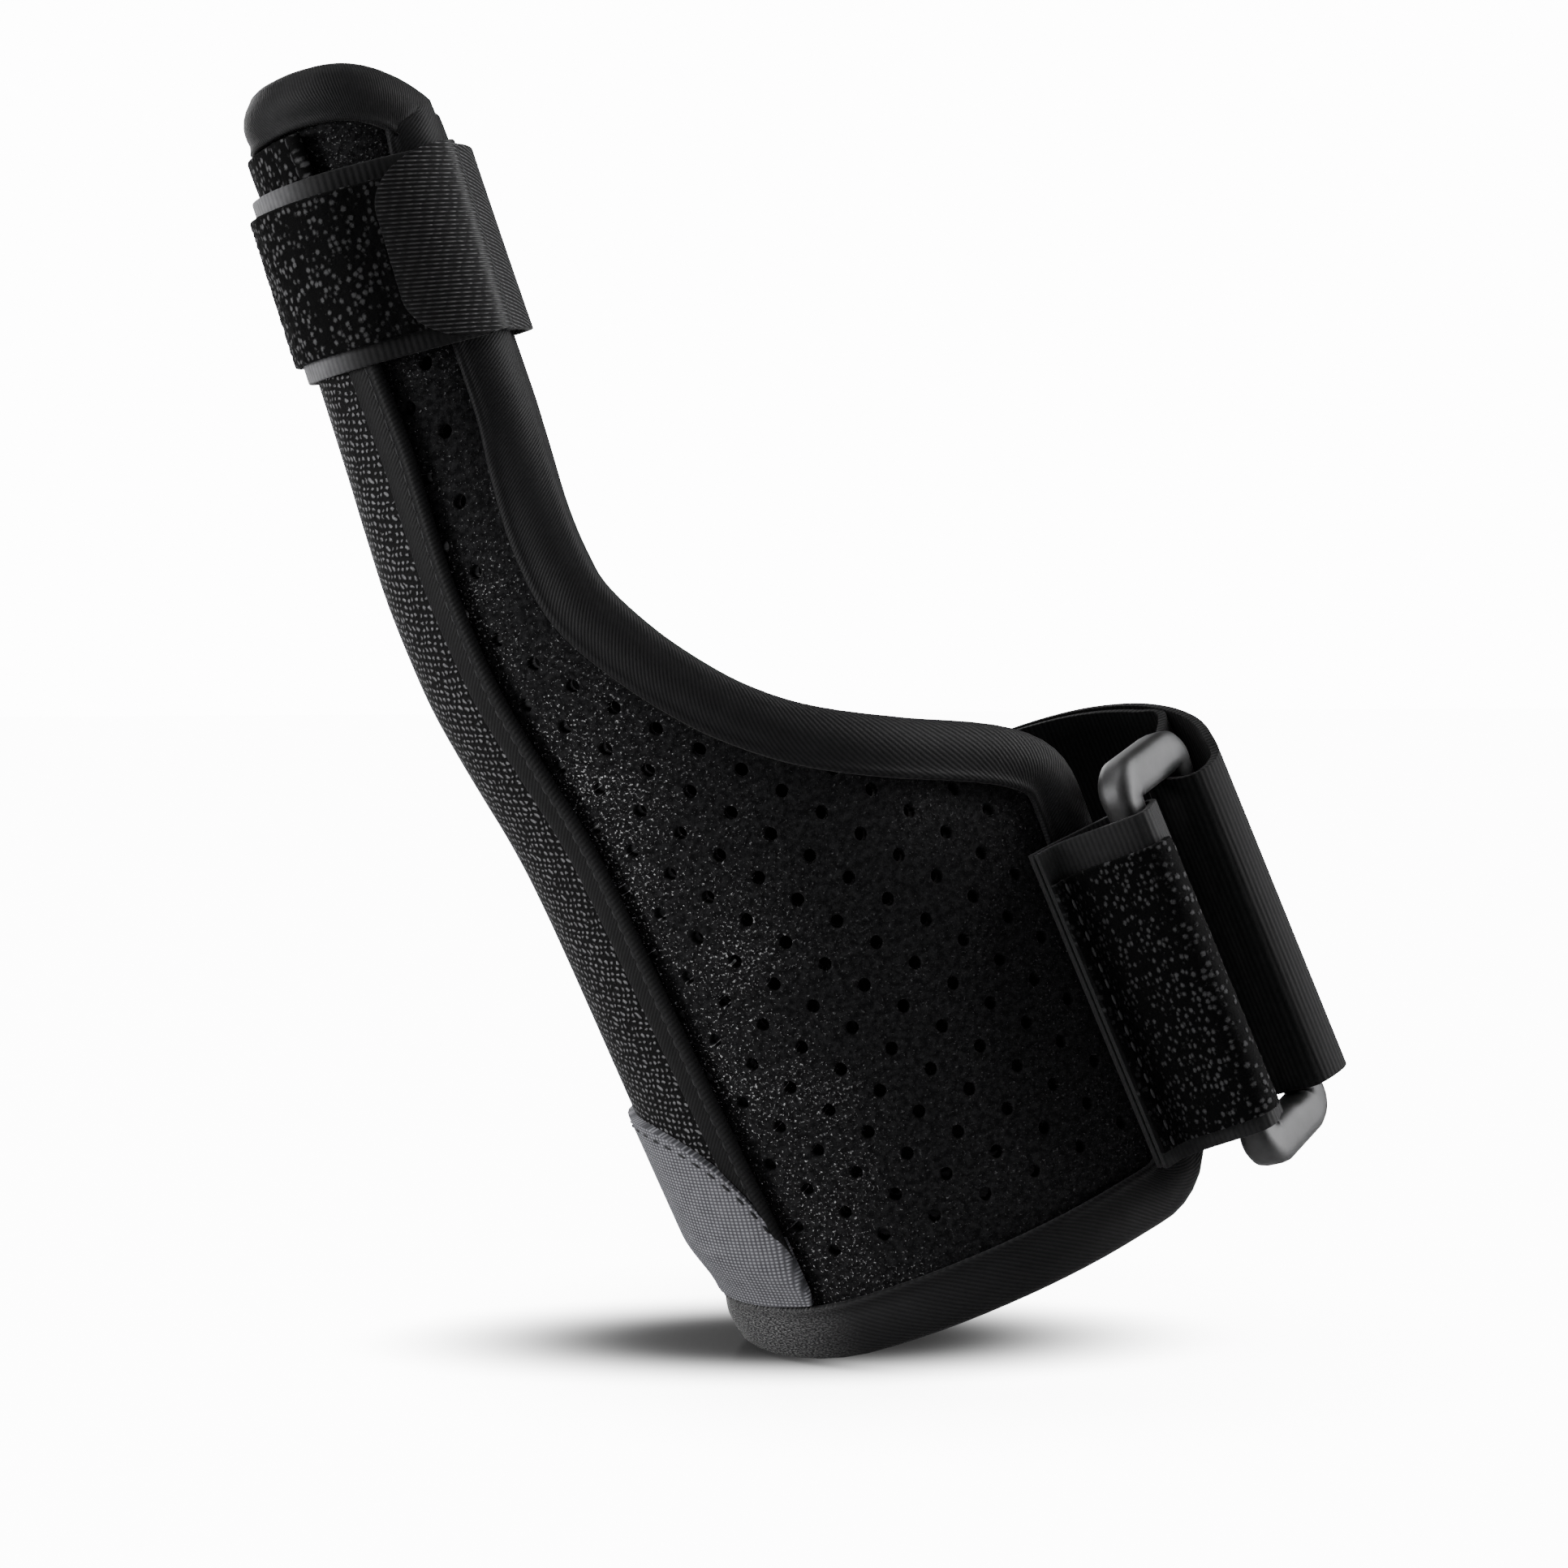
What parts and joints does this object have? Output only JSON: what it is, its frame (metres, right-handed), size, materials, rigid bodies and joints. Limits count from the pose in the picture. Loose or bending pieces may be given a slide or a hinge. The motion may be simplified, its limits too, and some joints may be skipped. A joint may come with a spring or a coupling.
{
  "type": "thumb spica splint",
  "caption": "Perforated wrap splint for wrist and thumb, with a stay pocket on the thumb side, a hooked thumb strap and a wide wrist strap that runs through a ring.",
  "frame": {"origin": "centre of the wrist hollow at the height of the wrist strap", "axes": "+Z along the forearm towards the thumb tip, -X to the thumb side, +X to the ring side, -Y to the front"},
  "size_m": [0.0971, 0.0557, 0.1872],
  "materials": {
    "perforated_laminate": "brushed pile face, matt",
    "binding": "smooth stretch knit, matt",
    "pocket_weave": "open net weave",
    "grey_knit": "fine knit, matt",
    "grey_band": "smooth woven band",
    "loop_pile": "coarse loop pile",
    "hook_tape": "ruled hook rows",
    "gunmetal": "satin gunmetal",
    "black_elastic": "ribbed elastic, slightly smooth"
  },
  "bodies": {
    "root": {"splint_panel": "perforated_laminate", "edge_binding": "binding", "stay_pocket": "pocket_weave", "pocket_end_patch": "grey_knit", "pocket_piping_front": "binding", "pocket_piping_back": "binding", "thumb_strap_band": "grey_band", "thumb_strap_pile": "loop_pile", "thumb_hook_tab": "hook_tape", "ring_buckle": "gunmetal", "ring_tab_band": "grey_band", "ring_tab_pile": "loop_pile", "wrist_strap": "black_elastic", "wrist_hook_tab": "hook_tape"}
  },
  "joints": []
}
